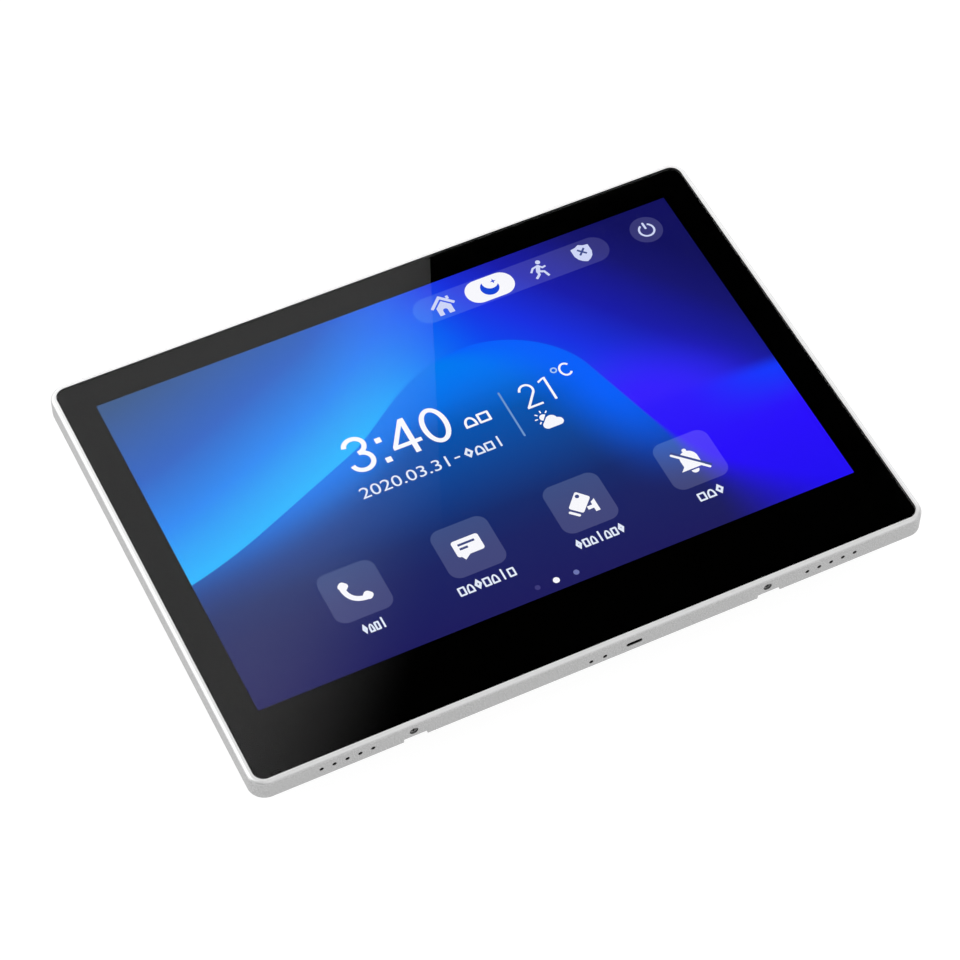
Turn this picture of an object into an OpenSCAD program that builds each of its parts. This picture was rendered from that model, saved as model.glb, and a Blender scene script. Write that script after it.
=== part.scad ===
// Wall-mounted video intercom monitor, lying on its back.
// X runs to the right of the screen, Y to its top, Z out of the screen.
// The origin is the middle of the footprint, on the plane of the rear face.

/* [Front frame] */
// Width of the aluminium frame
body_w = 243; // [241:0.5:250]
// Height of the aluminium frame, along the screen
body_h = 175.6; // [175:0.2:182]
// Thickness from the rear face to the front of the glass
body_t = 22; // [22:0.5:26]
// Height of the frame's side wall
frame_t = 8; // [7.8:0.1:8.2]
// Thickness of the frame's side wall
wall_t = 2.2; // [2.1:0.1:2.4]
// Radius of the frame's corners, seen from the front
corner_r = 6; // [5.5:0.5:8]
// Radius of the frame's rounded front edge
edge_r = 1.4; // [1:0.1:1.7]
// Width of the metal rim round the glass
rim_w = 2; // [1.8:0.1:2.1]

/* [Screen] */
// Thickness of the cover glass
glass_t = 1.1; // [1:0.1:1.2]
// Width of the lit picture, 10.1 inch at 16:10
screen_w = 216.96; // [214:0.02:217]
// Height of the lit picture
screen_h = 135.6; // [133:0.1:136]
// How far the picture's centre is right of the glass's centre
screen_x = 0.15; // [-0.2:0.05:0.2]
// How far the picture's centre is above the glass's centre
screen_y = 6.65; // [6.4:0.05:6.8]

/* [Bottom edge] */
// Diameter of each sound hole
hole_d = 1.5; // [1.2:0.1:1.5]
// Diameter of the microphone and reset holes
pinhole_d = 1.5; // [1.3:0.1:1.5]
// Distance between sound holes
sound_pitch = 4.46; // [4:0.02:4.6]
// Middle of the left row of sound holes
sound_left_x = -89.6; // [-91:0.1:-89]
// Middle of the right row of sound holes
sound_right_x = 84.9; // [84:0.1:86]
// Left lock screw
lock_left_x = -66.5; // [-66.7:0.1:-66.3]
// Right lock screw
lock_right_x = 61.1; // [60.9:0.1:61.3]
// Depth of the lock screws' axes behind the front of the glass
lock_drop = 3.6; // [3.6:0.05:3.8]
// Microphone hole
mic_x = -3.5; // [-4:0.1:-3]
// Reset hole
reset_x = 1.5; // [1.2:0.1:1.8]
// Depth of the microphone and reset holes behind the front of the glass
pinhole_drop = 5.5; // [5.4:0.05:5.6]
// Middle of the service port
port_x = 12.1; // [11.8:0.1:12.4]
// Width of the service port's slot
port_w = 5.8; // [5.4:0.1:6.4]
// Height of the service port's slot
port_h = 1.7; // [1.5:0.05:1.8]
// Width of the notch in the frame's back edge at each lock screw
notch_w = 8.3; // [8:0.1:8.6]

/* [Rear cover] */
// Width of the raised part at the back
box_w = 190; // [186:1:200]
// Height of the raised part at the back
box_h = 132; // [130:1:134]
// Wall thickness of the rear cover
cover_t = 2; // [1.8:0.1:2.2]
// Width of the connector bay
bay_w = 104; // [100:1:110]
// Length of the connector bay along the screen's height
bay_h = 28; // [27.5:0.5:28.5]
// Length of each bracket slot
slot_len = 12; // [10:0.5:13]
// Width of each bracket slot
slot_w = 4; // [3:0.5:5]
// Distance between the bracket slots across the body
slot_dx = 164; // [160:1:166]
// Distance between the bracket slots along the screen's height
slot_dy = 100; // [96:1:104]

/* [Moving parts] */
// How far a lock screw backs out
lock_travel = 3; // [1:0.5:3]
// How far the reset plunger goes in
reset_travel = 0.25; // [0.15:0.05:0.25]
// Distance between terminals
terminal_pitch = 3.81; // [3.5:0.01:3.81]

/* [Hidden] */

// Levels along Z, counted down from the front of the glass
glass_z = body_t;
glass_back = glass_z - glass_t;
rim_top = glass_z - 0.1;
print_top = glass_back - 0.02;
print_t = 0.12;
print_back = print_top - print_t;
tape_t = 0.35;
ledge_z = print_back - tape_t;
ledge_back = ledge_z - 1.2;
frame_back = body_t - frame_t;
lcd_top = glass_z - 1.3;
lcd_t = 1.5;
diffuser_t = 0.35;
guide_t = 1.4;
reflector_t = 0.15;
tray_t = 0.3;
tray_back = lcd_top - lcd_t - diffuser_t - guide_t - reflector_t - tray_t;
foam_t = 0.5;
chassis_front = tray_back - foam_t;
chassis_t = 0.8;
chassis_back = chassis_front - chassis_t;
flange_front = chassis_back - 0.2;
flange_t = 1.2;
flange_back = flange_front - flange_t;
board_t = 1.6;
board_top = chassis_back - 1.1;
board_back = board_top - board_t;
bay_ceiling = flange_back - 1.9;
ceiling_t = 1.6;

// Plan sizes
half_w = body_w / 2;
half_h = body_h / 2;
wall_y = -half_h;
wall_inner_y = wall_y + wall_t;
ledge_reach = 4.6;
glass_gap = 0.05;
glass_w = body_w - 2 * rim_w - 2 * glass_gap;
glass_h = body_h - 2 * rim_w - 2 * glass_gap;
glass_r = corner_r - rim_w;
tray_w = 229;
tray_h = 149;
tray_wall = 0.3;
tray_bottom = screen_y - tray_h / 2;
panel_w = tray_w - 2 * tray_wall - 0.4;
panel_h = tray_h - 2 * tray_wall - 0.4;
led_w = 2.2;
box_r = 8;
bay_top = -box_h / 2 + bay_h;
bay_wall = 2;

// Main board
main_w = 150;
main_bottom = bay_top + 4;
main_top = 58;
board_hole_d = 2.9;
board_hole_at = [[-70, main_bottom + 5], [70, main_bottom + 5], [-70, 53], [70, 53], [0, 53]];

// Screw places
side_x = half_w - wall_t - 2;
end_y = half_h - wall_t - 2.1;
chassis_screw_at = [for (s = [-1, 1], y = [-50, 0, 50]) [s * side_x, y]];
rear_side_at = [for (s = [-1, 1], y = [-72, -27, 27, 72]) [s * side_x, y]];
rear_end_at = [[-60, end_y], [0, end_y], [60, end_y], [-45, -end_y], [44, -end_y]];
rear_screw_at = concat(rear_side_at, rear_end_at);
boss_d = 3.9;
screw_d = 2.2;
thread_d = 2.5;
screw_head_d = 3.8;

// Lock screws and the bracket's locking tabs
lock_z = glass_z - lock_drop;
lock_head_d = 2.8;
lock_head_t = 2.15;
lock_bore_d = 3;
lock_bore_depth = 2.6;
lock_shank_d = 2;
lock_hole_d = 2.2;
lock_recess = 0.4;
lock_seat_y = wall_y + lock_bore_depth;
lock_boss_w = 8;
lock_boss_end = wall_inner_y + 5.2;
notch_left_x = lock_left_x + 0.65;
notch_right_x = lock_right_x + 0.75;
notch_t = 1.5;
tab_slot_y = lock_boss_end + 0.2;
tab_slot_h = 2.6;
clip_y = lock_boss_end + lock_travel + 0.1;
clip_t = 0.5;
clip_d = 3.6;
lock_tip_y = clip_y + clip_t + 0.8;

// Small board in the chin, with its parts hanging below it
sound_z = glass_z - 4.05;
sound_left_z = glass_z - 3.95;
sound_right_z = glass_z - 4.15;
pinhole_z = glass_z - pinhole_drop;
port_z = glass_z - 4.4;
chip_t = 1.4;
io_back = pinhole_z + chip_t / 2;
io_t = 1;
io_x0 = -22;
io_x1 = 30;
io_y0 = wall_inner_y + 2.3;
io_y1 = -70;
io_screw_at = [[-17, -74], [25, -74]];
shell_w = port_w + 0.6;
shell_h = 2.6;
shell_len = 5.6;
shell_t = 0.3;
port_y = wall_inner_y + 0.2;
plunger_d = 1;
plunger_bore_d = 1.1;
switch_y0 = wall_inner_y + 3.2;
speaker_w = 36;
speaker_len = 12.8;
speaker_t = ledge_back - flange_front - 0.6;
speaker_z0 = flange_front + 0.5;
speaker_y0 = wall_inner_y + 2;
gasket_w = 22;
gasket_t = 2;

// Connectors in the bay
jack_x = -32;
jack_w = 15.9;
jack_len = 19;
jack_y0 = bay_top + 1;
jack_z0 = cover_t + 0.2;
jack_mouth_w = 11.8;
jack_mouth_h = 6.8;
jack_mouth_len = 13;
jack_mouth_z = 3;
header_z0 = 5.4;
header_z1 = bay_ceiling - 0.1;
header_wall = 0.8;
header_y0 = bay_top - 4;
header_y1 = bay_top + 6;
header_cavity_y = header_y0 + 5.5;
plug_gap = 0.15;
plug_y0 = header_y0 - 8;
plug_y1 = header_cavity_y - 0.3;
plug_z1 = header_z1 - header_wall - plug_gap;
pin_t = 0.8;
pin_len = 4.4;
pin_z = 9;
power_x = -8.7;
power_ways = 2;
io_ways = 8;
io_x = 21.5;

function terminal_width(ways) = ways * terminal_pitch + 1.6;
function terminal_x(x, ways, i) = x + (i - (ways - 1) / 2) * terminal_pitch;

// Routes of the flat flex cables and round cables
flex_t = 0.12;
flex_z = flange_front + 0.12;
flex_under_z = board_top + 0.4;
connector_y = main_bottom + 1;
connector_len = 4.5;
connector_t = 0.95;
under_route = [[-62, flex_z], [-58, flex_under_z], [connector_y, flex_under_z]];
lcd_route = concat([[tray_bottom, 18.4], [-68.6, 18.4], [-68.6, flex_z]], under_route);
io_route = concat([[io_y1, io_back + 0.3], [-69, io_back + 0.3], [-69, flex_z]], under_route);
touch_route = concat([[-76, print_back - 0.1], [-68.9, print_back - 0.1], [-68.9, flex_z]], under_route);
wire_d = 0.9;
wire_z = flange_front + 0.6;
wire_under_z = board_top + 0.5;
speaker_back_y = speaker_y0 + speaker_len + wire_d / 2;
wire_end_y = connector_y - wire_d / 2;
left_wire = [
    [-76, speaker_back_y, 17.2], [-76, -69.2, 17.2], [-76, -68.6, wire_z],
    [-60, -63, wire_z], [-60, -61.2, wire_under_z], [-60, wire_end_y, wire_under_z]
];
right_wire = [
    [72, speaker_back_y, 17.2], [72, -69.2, 17.2], [72, -68.6, wire_z],
    [64, -63, wire_z], [64, -61.2, wire_under_z], [64, wire_end_y, wire_under_z]
];
antenna_end_y = -71;
antenna_wire = [
    [-35, antenna_end_y + wire_d / 2, wire_z], [-35, -63, wire_z], [-35, -61.2, wire_under_z],
    [-35, wire_end_y, wire_under_z]
];
// Each entry is a connector's middle and its width
connector_at = [[-60, 5], [-35, 4], [-4, 18], [37, 20], [55, 9.5], [64, 5]];

// Shared shapes
module rounded_rect(w, h, r) {
    square([w - 2 * r, h], center = true);
    square([w, h - 2 * r], center = true);
    for (x = [-1, 1], y = [-1, 1])
        translate([x * (w / 2 - r), y * (h / 2 - r)]) circle(r = r, $fn = 48);
}

module plate(w, h, t, z, r) {
    translate([0, 0, z]) linear_extrude(t) rounded_rect(w, h, r);
}

module block(x0, x1, y0, y1, z0, z1) {
    translate([x0, y0, z0]) cube([x1 - x0, y1 - y0, z1 - z0]);
}

module ring(outer, inner, t, z) {
    translate([0, 0, z]) linear_extrude(t) difference() {
        rounded_rect(outer[0], outer[1], outer[2]);
        translate([inner[3], inner[4]]) rounded_rect(inner[0], inner[1], inner[2]);
    }
}

// A rod along Y from y0 to y1
module rod_y(x, z, d, y0, y1) {
    translate([x, y0, z]) rotate([-90, 0, 0]) cylinder(d = d, h = y1 - y0, $fn = 32);
}

// An opening with round ends, long along X
module round_slot(len, w) {
    square([len - w, w], center = true);
    for (s = [-1, 1]) translate([s * (len - w) / 2, 0]) circle(d = w, $fn = 32);
}

function unit(v) = v / norm(v);
function left_of(a, b) = let (u = unit(b - a)) [-u[1], u[0]];
function corner_shift(route, i) =
    i == 0 ? left_of(route[0], route[1])
    : i == len(route) - 1 ? left_of(route[i - 1], route[i])
    : let (m = unit(left_of(route[i - 1], route[i]) + left_of(route[i], route[i + 1])))
        m / (m * left_of(route[i - 1], route[i]));

// A flat flex cable: a ribbon w wide whose side view is the route in Y and Z
module flex(route, x, w) {
    n = len(route);
    edge_a = [for (i = [0:n - 1]) route[i] + corner_shift(route, i) * flex_t / 2];
    edge_b = [for (i = [n - 1:-1:0]) route[i] - corner_shift(route, i) * flex_t / 2];
    translate([x - w / 2, 0, 0]) rotate([90, 0, 90]) linear_extrude(w) polygon(concat(edge_a, edge_b));
}

// A round cable, straight between its bends
module wire(route, d) {
    for (i = [0:len(route) - 2]) hull() {
        translate(route[i]) sphere(d = d, $fn = 10);
        translate(route[i + 1]) sphere(d = d, $fn = 10);
    }
}

// Pan-head screw pointing up, with its head's seat at z
module screw_up(at, z, len, head_t) {
    translate([at[0], at[1], z - head_t]) difference() {
        cylinder(d = screw_head_d, h = head_t, $fn = 32);
        cross_recess(screw_head_d * 0.5, head_t * 0.6);
    }
    translate([at[0], at[1], z]) cylinder(d = screw_d, h = len, $fn = 24);
}

// Cross recess cut upwards from z = 0
module cross_recess(size, depth) {
    for (a = [0, 90]) rotate([0, 0, a])
        translate([-size / 2, -size / 8, -0.1]) cube([size, size / 4, depth + 0.1]);
}

// Front frame
module frame_section() {
    square([wall_t, ledge_z - frame_back]);
    square([rim_w, rim_top - frame_back - edge_r]);
    translate([edge_r, 0]) square([rim_w - edge_r, rim_top - frame_back]);
    translate([edge_r, rim_top - frame_back - edge_r]) intersection() {
        circle(r = edge_r, $fn = 48);
        translate([-edge_r, 0]) square(edge_r);
    }
}

module frame_side(len, reach) {
    translate([-len / 2, -reach, frame_back])
        rotate([90, 0, 90]) linear_extrude(len) frame_section();
}

module frame_corner() {
    translate([half_w - corner_r, half_h - corner_r, frame_back])
        rotate_extrude(angle = 90, $fn = 96) translate([corner_r, 0]) mirror([1, 0]) frame_section();
}

module frame_ring() {
    for (a = [0, 180]) rotate([0, 0, a]) frame_side(body_w - 2 * corner_r, half_h);
    for (a = [90, 270]) rotate([0, 0, a]) frame_side(body_h - 2 * corner_r, half_w);
    for (a = [0, 1], b = [0, 1]) mirror([a, 0]) mirror([0, b]) frame_corner();
}

module lock_bore(x) {
    rod_y(x, lock_z, lock_bore_d, wall_y - 1, lock_seat_y);
    rod_y(x, lock_z, lock_hole_d, lock_seat_y - 1, lock_boss_end + 1);
}

module front_frame() color("silver") difference() {
    frame_ring();
    for (x = [lock_left_x, lock_right_x]) lock_bore(x);
    for (x = [notch_left_x, notch_right_x])
        block(x - notch_w / 2, x + notch_w / 2, wall_y - 1, wall_inner_y + 0.05,
            frame_back - 1, frame_back + notch_t);
    for (i = [-2:2]) {
        rod_y(sound_left_x + i * sound_pitch, sound_left_z, hole_d, wall_y - 1, wall_inner_y + 1);
        rod_y(sound_right_x + i * sound_pitch, sound_right_z, hole_d, wall_y - 1, wall_inner_y + 1);
    }
    for (x = [mic_x, reset_x]) rod_y(x, pinhole_z, pinhole_d, wall_y - 1, wall_inner_y + 1);
    translate([port_x, wall_inner_y + 1, port_z]) rotate([90, 0, 0])
        linear_extrude(wall_t + 2) round_slot(port_w, port_h);
}

// Moulded frame inside the metal one: the ledge under the glass, and the bosses for the screws
module boss(at, z0) {
    translate([at[0], at[1], z0]) cylinder(d = boss_d, h = ledge_back - z0 + 0.1, $fn = 32);
}

module inner_frame() color("dimgray") difference() {
    union() {
        ring([body_w - 2 * wall_t, body_h - 2 * wall_t, corner_r - wall_t],
            [body_w - 2 * ledge_reach, body_h - 2 * ledge_reach, corner_r - ledge_reach, 0, 0],
            ledge_z - ledge_back, ledge_back);
        for (at = chassis_screw_at) boss(at, chassis_front);
        for (at = rear_screw_at) boss(at, flange_front);
        for (x = [lock_left_x, lock_right_x])
            block(x - lock_boss_w / 2, x + lock_boss_w / 2, wall_inner_y, lock_boss_end,
                flange_front, ledge_back + 0.1);
    }
    for (at = chassis_screw_at)
        translate([at[0], at[1], chassis_front - 1]) cylinder(d = thread_d, h = 3.4, $fn = 24);
    for (at = rear_screw_at)
        translate([at[0], at[1], flange_front - 1]) cylinder(d = thread_d, h = 4.2, $fn = 24);
    for (x = [lock_left_x, lock_right_x]) lock_bore(x);
}

// Glass and its bonding
module cover_glass() color("black", 0.4)
    plate(glass_w, glass_h, glass_t, glass_back, glass_r);

module border_print() color("black")
    ring([glass_w - 0.2, glass_h - 0.2, glass_r], [screen_w, screen_h, 0.4, screen_x, screen_y],
        print_t, print_back);

module glass_tape() color("dimgray")
    ring([glass_w - 0.4, glass_h - 0.4, glass_r],
        [glass_w - 5, glass_h - 5, 1.6, 0, 0], tape_t, ledge_z);

// Screen, from its front to its back
module in_screen() {
    translate([screen_x, screen_y, 0]) children();
}

module lcd_cell() color("midnightblue") in_screen()
    plate(panel_w, panel_h, lcd_t, lcd_top - lcd_t, 0.6);

module diffuser_sheet() color("white") in_screen()
    plate(panel_w - 1, panel_h - 1, diffuser_t, lcd_top - lcd_t - diffuser_t, 0.6);

module light_guide() color("lightcyan") in_screen() translate([0, led_w / 2, 0])
    plate(panel_w - 2, panel_h - 2 - led_w, guide_t, tray_back + tray_t + reflector_t, 0.6);

module reflector_sheet() color("white") in_screen()
    plate(panel_w - 1, panel_h - 1, reflector_t, tray_back + tray_t, 0.6);

module led_strip() color("gold") in_screen()
    translate([0, -panel_h / 2 + 1, tray_back + tray_t + reflector_t]) {
        translate([-105, -0.2, 0]) cube([210, 0.5, guide_t - 0.1]);
        for (i = [-17:17]) translate([i * 6 - 1.5, 0.3, 0.1]) cube([3, 1.2, guide_t - 0.4]);
    }

module backlight_tray() color("gainsboro") in_screen() difference() {
    plate(tray_w, tray_h, lcd_top - 0.3 - tray_back, tray_back, 0.8);
    plate(tray_w - 2 * tray_wall, tray_h - 2 * tray_wall, 10, tray_back + tray_t, 0.6);
}

module lcd_foam() color("dimgray")
    for (x = [-100, -35, 35, 100]) block(x - 4, x + 4, -50, 70, chassis_front, tray_back);

// Chassis plate: ties the screen and the main board to the frame
module chassis_plate() color("lightgray") difference() {
    union() {
        translate([0, 0, chassis_back]) linear_extrude(chassis_t) difference() {
            translate([0, 10]) rounded_rect(227, 140, 3);
            for (x = [-92, 92]) translate([x, 10]) rounded_rect(14, 90, 3);
        }
        for (at = chassis_screw_at) {
            translate([at[0], at[1], chassis_back]) cylinder(d = 3.8, h = chassis_t, $fn = 32);
            s = sign(at[0]);
            block(min(s * 112, at[0]), max(s * 112, at[0]), at[1] - 1.9, at[1] + 1.9,
                chassis_back, chassis_front);
        }
        for (at = board_hole_at)
            translate([at[0], at[1], board_top]) cylinder(d = 5.5, h = 1.2, $fn = 32);
    }
    for (at = chassis_screw_at)
        translate([at[0], at[1], chassis_back - 1]) cylinder(d = board_hole_d, h = 4, $fn = 24);
    for (at = board_hole_at)
        translate([at[0], at[1], board_top - 1]) cylinder(d = thread_d, h = 5, $fn = 24);
}

module chassis_screws() color("darkgray")
    for (at = chassis_screw_at) screw_up(at, chassis_back, 3, 0.9);

// Main board and what is soldered to it
module main_board() color("darkgreen") difference() {
    block(-main_w / 2, main_w / 2, main_bottom, main_top, board_back, board_top);
    for (at = board_hole_at)
        translate([at[0], at[1], board_back - 1]) cylinder(d = board_hole_d, h = 4, $fn = 24);
}

module chip(x, y, w, h, t) {
    block(x - w / 2, x + w / 2, y - h / 2, y + h / 2, board_back - t, board_back);
}

module processor() color("black")
    block(-3, 13, 7, 23, board_top, board_top + 0.8);

module thermal_pad() color("lightblue")
    block(-3, 13, 7, 23, board_top + 0.8, chassis_back);

module board_chips() color("black") {
    for (x = [-4, 8]) chip(x, 15, 9, 13, 1);
    chip(22, 15, 11.5, 13, 1);
    chip(-18, 15, 8, 8, 0.9);
    chip(36, 8, 6, 6, 0.9);
    chip(-33, 5, 9, 9, 1);
    chip(30, -12, 5, 6.2, 1.5);
    chip(14, -14, 5, 6.2, 1.5);
}

module capacitors() color("silver")
    for (at = [[-60, -12], [-60, -3], [-60, 6], [-51, -12]])
        translate([at[0], at[1], board_back - 7.7]) cylinder(d = 6.3, h = 7.7, $fn = 32);

module coils() color("dimgray")
    for (at = [[-8, -13], [0, -13], [-51, -2]])
        chip(at[0], at[1], 7, 7, 3.2);

module wifi_shield() color("gainsboro")
    chip(-50, 34, 24, 20, 2.2);

module network_transformer() color("black")
    chip(-32, -5, 12, 9, 4);

module relay() color("white")
    chip(58, -14, 7.5, 15, 9.5);

module coin_cell_holder() color("dimgray") translate([52, 28, 0]) difference() {
    translate([0, 0, board_back - 4.6]) cylinder(d = 23, h = 4.6, $fn = 64);
    translate([0, 0, board_back - 5.6]) cylinder(d = 20.2, h = 4.4, $fn = 64);
    translate([-6, -13, board_back - 5.6]) cube([12, 6, 4.4]);
}

module coin_cell() color("silver") translate([52, 28, board_back - 4.4])
    cylinder(d = 20, h = 3.2, $fn = 64);

module board_connectors() color("ivory")
    for (c = connector_at)
        block(c[0] - c[1] / 2, c[0] + c[1] / 2, connector_y, connector_y + connector_len,
            board_top, board_top + connector_t);

module board_screws() color("darkgray")
    for (at = board_hole_at) screw_up(at, board_back, 3.2, 1.3);

// Network socket, mouth towards the bottom edge
module ethernet_jack() color("silver") difference() {
    block(jack_x - jack_w / 2, jack_x + jack_w / 2, jack_y0, jack_y0 + jack_len, jack_z0, board_back);
    block(jack_x - jack_mouth_w / 2, jack_x + jack_mouth_w / 2, jack_y0 - 1, jack_y0 + jack_mouth_len,
        jack_mouth_z, jack_mouth_z + jack_mouth_h);
    block(jack_x - 3, jack_x + 3, jack_y0 - 1, jack_y0 + 8, jack_mouth_z + 1,
        jack_mouth_z + jack_mouth_h + 1.6);
}

module ethernet_contacts() color("gold")
    for (i = [0:7]) {
        x = jack_x + (i - 3.5) * 1.02;
        block(x - 0.2, x + 0.2, jack_y0 + 6, jack_y0 + jack_mouth_len, jack_mouth_z + 0.4,
            jack_mouth_z + 0.9);
    }

// Pluggable terminals
module header(x, ways) {
    w = terminal_width(ways) + 2 * header_wall;
    difference() {
        union() {
            block(x - w / 2, x + w / 2, header_y0, header_y1, header_z0, header_z1);
            block(x - w / 2, x + w / 2, main_bottom, header_y1, header_z1 - 0.1, board_back);
        }
        block(x - w / 2 + header_wall, x + w / 2 - header_wall, header_y0 - 1, header_cavity_y,
            header_z0 + header_wall, plug_z1 + plug_gap);
    }
}

module terminal_row(x, ways) {
    for (i = [0:ways - 1]) translate([terminal_x(x, ways, i), 0, 0]) children();
}

module plug(x, ways) {
    w = terminal_width(ways) - 2 * plug_gap;
    difference() {
        union() {
            block(x - w / 2, x + w / 2, header_y0 - 0.3, plug_y1,
                header_z0 + header_wall + plug_gap, plug_z1);
            block(x - w / 2 - header_wall, x + w / 2 + header_wall, plug_y0, header_y0 - 0.2,
                header_z0, plug_z1);
        }
        terminal_row(x, ways) {
            block(-0.7, 0.7, header_y0 - 2, plug_y1 + 1, pin_z - 0.7, pin_z + 0.7);
            rod_y(0, pin_z - 0.6, 2.4, plug_y0 - 1, plug_y0 + 5);
            translate([0, plug_y0 + 3.4, header_z0 - 1]) cylinder(d = 2.8, h = 3.4, $fn = 32);
        }
    }
}

module plug_screws(x, ways) {
    terminal_row(x, ways) translate([0, plug_y0 + 3.4, header_z0 + 0.4]) difference() {
        cylinder(d = 2.7, h = 1.3, $fn = 32);
        translate([-1.1, -0.25, -0.1]) cube([2.2, 0.5, 0.7]);
    }
}

module power_header() color("darkgreen") header(power_x, power_ways);

module io_header() color("darkgreen") header(io_x, io_ways);

module terminal_pin_row(x, ways) {
    terminal_row(x, ways) block(-pin_t / 2, pin_t / 2, header_cavity_y - pin_len, header_cavity_y,
        pin_z - pin_t / 2, pin_z + pin_t / 2);
}

module terminal_pins() color("silver") {
    terminal_pin_row(power_x, power_ways);
    terminal_pin_row(io_x, io_ways);
}

module power_plug() color("green") plug(power_x, power_ways);

module power_plug_screws() color("silver") plug_screws(power_x, power_ways);

module io_plug() color("green") plug(io_x, io_ways);

module io_plug_screws() color("silver") plug_screws(io_x, io_ways);

// Chin board with the microphone, the reset switch and the service port
module io_board() color("darkgreen") difference() {
    block(io_x0, io_x1, io_y0, io_y1, io_back, io_back + io_t);
    block(port_x - shell_w / 2 - 0.1, port_x + shell_w / 2 + 0.1, io_y0 - 1, port_y + shell_len + 0.1,
        io_back - 1, io_back + 3);
    for (at = io_screw_at) translate([at[0], at[1], io_back - 1]) cylinder(d = 2.3, h = 4, $fn = 24);
}

module io_board_screws() color("darkgray")
    for (at = io_screw_at) translate([at[0], at[1], 0]) {
        translate([0, 0, io_back + io_t]) cylinder(d = 3.6, h = 0.9, $fn = 32);
        translate([0, 0, flange_front + 0.3]) cylinder(d = 1.9, h = io_back + io_t - flange_front - 0.3,
            $fn = 24);
    }

module microphone() color("gold")
    block(mic_x - 1.8, mic_x + 1.8, wall_inner_y + 2.3, wall_inner_y + 5, io_back - chip_t, io_back);

module microphone_boot() color("black") difference() {
    block(mic_x - 1.9, mic_x + 1.9, wall_inner_y, wall_inner_y + 2.2, pinhole_z - 0.9, pinhole_z + 0.9);
    rod_y(mic_x, pinhole_z, pinhole_d - 0.3, wall_inner_y - 1, wall_inner_y + 3);
}

module reset_switch() color("black") difference() {
    block(reset_x - 2.2, reset_x + 2.2, switch_y0, switch_y0 + 3.4, io_back - chip_t, io_back);
    rod_y(reset_x, pinhole_z, plunger_bore_d, switch_y0 - 1, switch_y0 + 1.4 + reset_travel);
}

module reset_button() color("white")
    rod_y(reset_x, pinhole_z, plunger_d, switch_y0 - 1.6, switch_y0 + 1.3);

module service_port() color("silver") difference() {
    block(port_x - shell_w / 2, port_x + shell_w / 2, port_y, port_y + shell_len,
        port_z - shell_h / 2, port_z + shell_h / 2);
    block(port_x - shell_w / 2 + shell_t, port_x + shell_w / 2 - shell_t, port_y - 1,
        port_y + shell_len - 0.6, port_z - shell_h / 2 + shell_t, port_z + shell_h / 2 - shell_t);
}

module service_port_tongue() color("black")
    block(port_x - 1.9, port_x + 1.9, port_y + 0.7, port_y + shell_len - 0.6, port_z + 0.1, port_z + 0.7);

// Loudspeakers, each a flat box that fires through the bottom edge
module speaker(x) {
    difference() {
        block(x - speaker_w / 2, x + speaker_w / 2, speaker_y0, speaker_y0 + speaker_len,
            speaker_z0, speaker_z0 + speaker_t);
        block(x - gasket_w / 2 + 1, x + gasket_w / 2 - 1, speaker_y0 - 1, speaker_y0 + 1.5,
            speaker_z0 + 0.8, speaker_z0 + speaker_t - 0.6);
        translate([x + 4, speaker_y0 + 7.2, speaker_z0 + speaker_t - 0.3])
            linear_extrude(1) rounded_rect(20, 9, 4);
    }
    translate([x + 4, speaker_y0 + 7.2, speaker_z0 + speaker_t - 0.3])
        linear_extrude(0.2) rounded_rect(17, 6.4, 3);
}

module speaker_left() color("black") speaker(sound_left_x);

module speaker_right() color("black") speaker(sound_right_x);

module gasket(x) difference() {
    block(x - gasket_w / 2, x + gasket_w / 2, wall_inner_y, speaker_y0, sound_z - 1.2, sound_z + 1.2);
    block(x - gasket_w / 2 + 1, x + gasket_w / 2 - 1, wall_inner_y - 1, speaker_y0 + 1,
        sound_z - 0.85, sound_z + 0.85);
}

module speaker_gaskets() color("dimgray") {
    gasket(sound_left_x);
    gasket(sound_right_x);
}

// Captive lock screws that hold the monitor on its wall bracket
module lock_screw(x) {
    head_y = wall_y + lock_recess;
    difference() {
        rod_y(x, lock_z, lock_head_d, head_y, head_y + lock_head_t);
        translate([x, head_y, lock_z]) rotate([-90, 0, 0]) cross_recess(1.7, 0.9);
    }
    rod_y(x, lock_z, lock_shank_d, head_y + lock_head_t, lock_tip_y);
}

module lock_clip(x) difference() {
    rod_y(x, lock_z, clip_d, clip_y, clip_y + clip_t);
    rod_y(x, lock_z, lock_shank_d + 0.02, clip_y - 1, clip_y + clip_t + 1);
}

module lock_screw_left() color("gray") lock_screw(lock_left_x);

module lock_screw_right() color("gray") lock_screw(lock_right_x);

module lock_clip_left() color("dimgray") lock_clip(lock_left_x);

module lock_clip_right() color("dimgray") lock_clip(lock_right_x);

// Antenna and cables
module wifi_antenna() color("gold")
    block(-59, -28, -79, antenna_end_y, flange_front, flange_front + 0.8);

module antenna_cable() color("black") wire(antenna_wire, wire_d);

module speaker_cables() color("red") {
    wire(left_wire, wire_d);
    wire(right_wire, wire_d);
}

module lcd_flex() color("orange") flex(lcd_route, 37, 18);

module touch_flex() color("orange") flex(touch_route, 55, 8);

module io_flex() color("orange") flex(io_route, -4, 16);

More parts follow.
